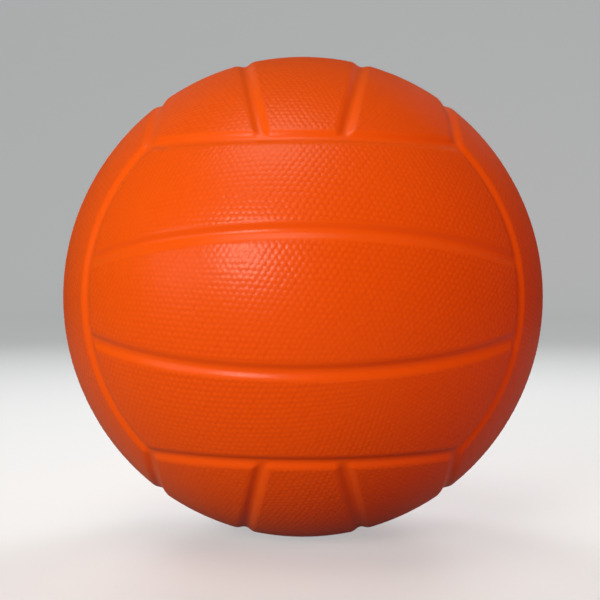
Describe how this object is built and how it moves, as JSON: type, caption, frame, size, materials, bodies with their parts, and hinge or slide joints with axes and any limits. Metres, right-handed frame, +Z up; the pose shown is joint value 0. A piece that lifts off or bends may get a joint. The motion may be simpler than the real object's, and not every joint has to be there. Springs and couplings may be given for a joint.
{
  "type": "soft volleyball",
  "caption": "Soft-touch ball with a pebbled foam-rubber cover of strip panels over a wound, air-filled core with a needle valve.",
  "frame": {"origin": "middle of the small flat that the ball rests on, straight below the ball's centre", "axes": "+Z up, -Y to the front (the side that the picture shows), +X to the viewer's right, +Y out of the valve"},
  "size_m": [0.21, 0.2097, 0.2094],
  "materials": {
    "foam_rubber_cover": "matte to satin, moulded pebbles",
    "carcass_rubber": "matte, calendered",
    "nylon_thread": "wound thread",
    "butyl_rubber": "smooth, satin",
    "valve_rubber": "smooth, matte",
    "valve_core_rubber": "smooth, satin"
  },
  "bodies": {
    "ball": {"front_panel_lower": "foam_rubber_cover", "front_panel_middle": "foam_rubber_cover", "front_panel_upper": "foam_rubber_cover", "back_panel_lower": "foam_rubber_cover", "back_panel_middle": "foam_rubber_cover", "back_panel_upper": "foam_rubber_cover", "top_panel_left": "foam_rubber_cover", "top_panel_middle": "foam_rubber_cover", "top_panel_right": "foam_rubber_cover", "bottom_panel_left": "foam_rubber_cover", "bottom_panel_middle": "foam_rubber_cover", "bottom_panel_right": "foam_rubber_cover", "right_panel_rear": "foam_rubber_cover", "right_panel_middle": "foam_rubber_cover", "right_panel_front": "foam_rubber_cover", "left_panel_rear": "foam_rubber_cover", "left_panel_middle": "foam_rubber_cover", "left_panel_front": "foam_rubber_cover", "rubber_carcass": "carcass_rubber", "thread_winding": "nylon_thread", "bladder": "butyl_rubber", "valve_seat": "valve_rubber"},
    "valve_core": {"valve_core": "valve_core_rubber"}
  },
  "joints": [
    {"name": "valve_core_pull", "type": "slide", "parent": "ball", "child": "valve_core", "axis": [0, 1, 0], "range_m": [0, 0.02]}
  ]
}
